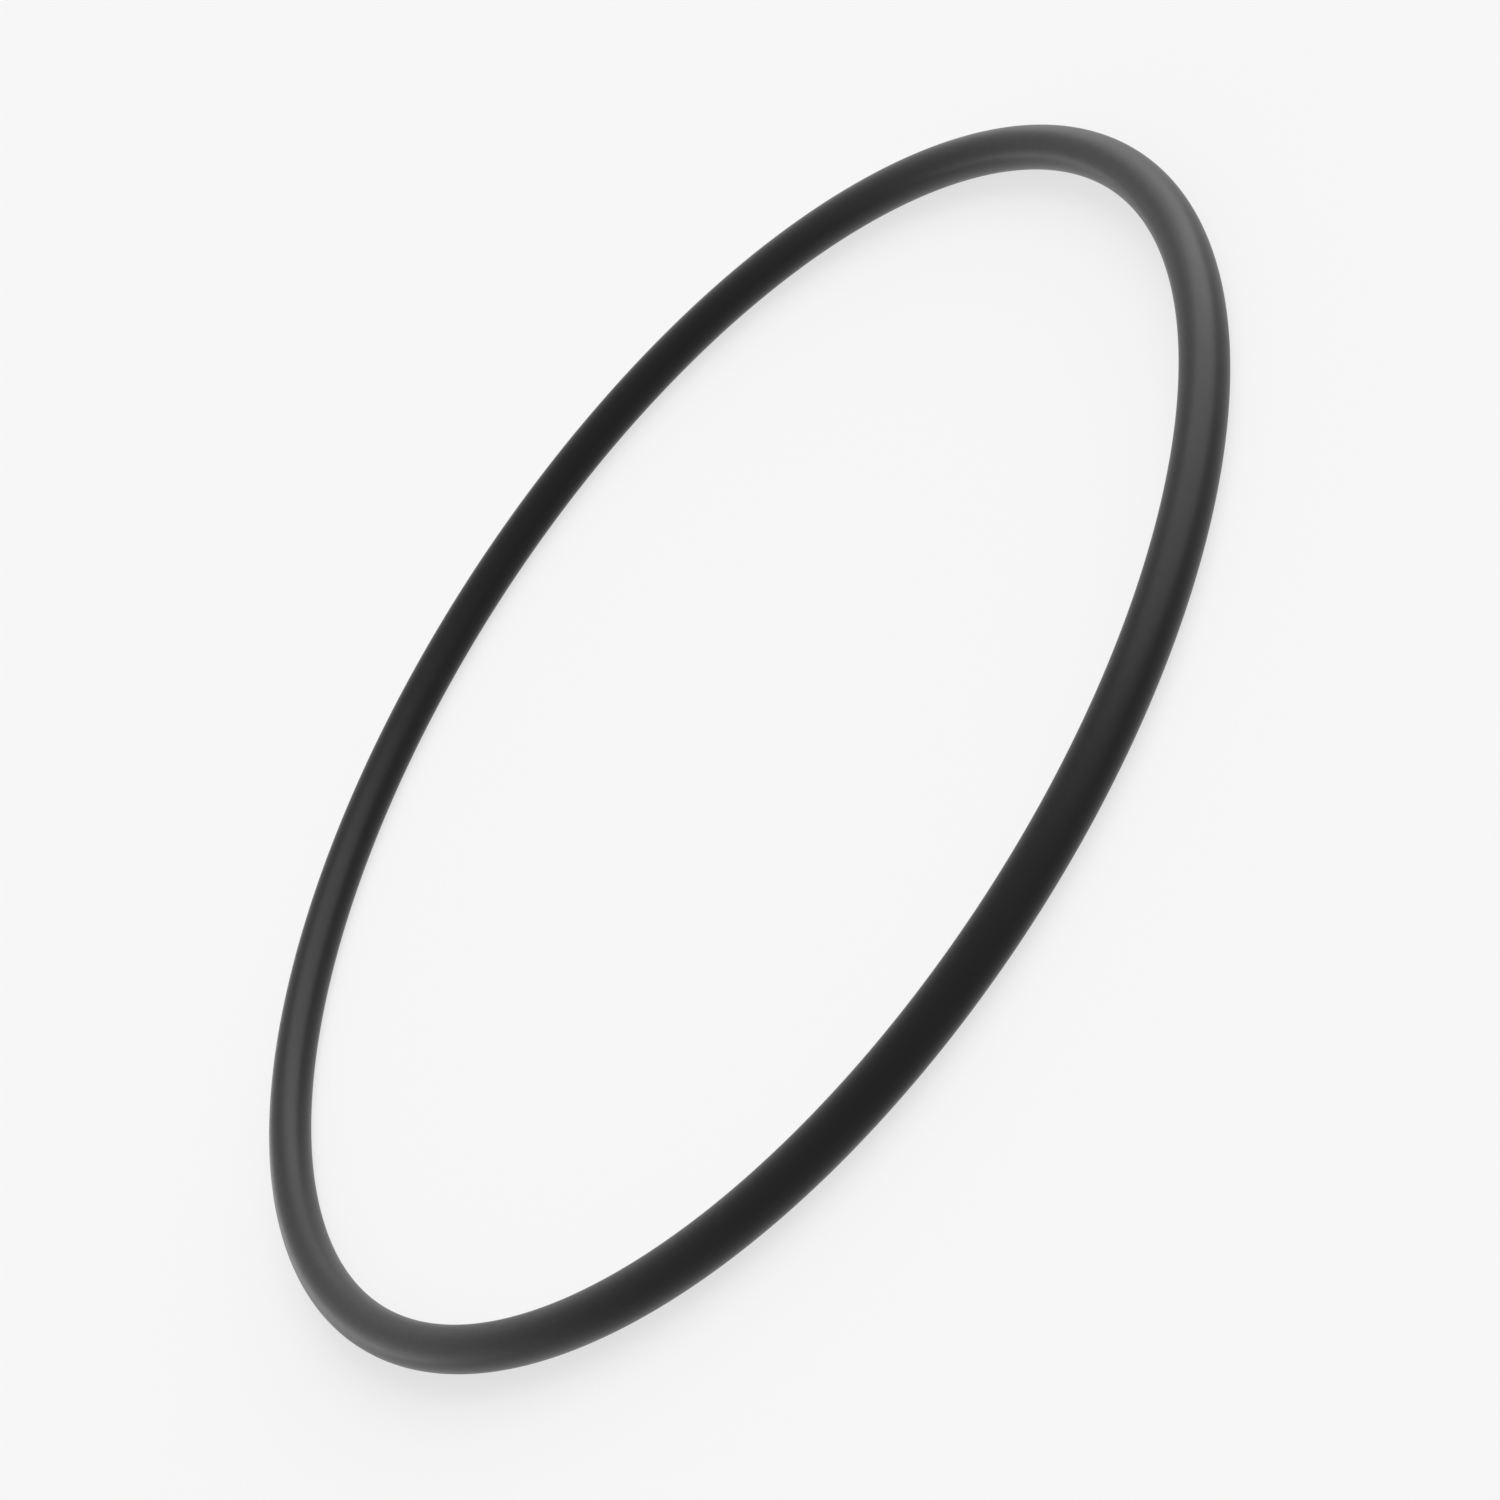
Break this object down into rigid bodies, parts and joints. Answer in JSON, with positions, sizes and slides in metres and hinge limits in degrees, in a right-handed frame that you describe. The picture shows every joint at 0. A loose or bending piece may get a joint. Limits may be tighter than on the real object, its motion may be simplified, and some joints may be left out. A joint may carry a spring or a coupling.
{
  "type": "rubber o-ring",
  "caption": "Black rubber sealing ring of round section, moulded in one piece, for a groove or gland round a shaft or spigot.",
  "frame": {"origin": "centre of the ring, on its axis and halfway up its round section", "axes": "+Z along the ring's axis, up when it lies flat; +X and +Y lie in its middle plane, in any radial direction because the ring is the same all round"},
  "size_m": [0.0811, 0.0812, 0.0026],
  "materials": {
    "rubber": "moulded black rubber, matt with a soft sheen"
  },
  "bodies": {
    "root": {"o_ring": "rubber"}
  },
  "joints": []
}
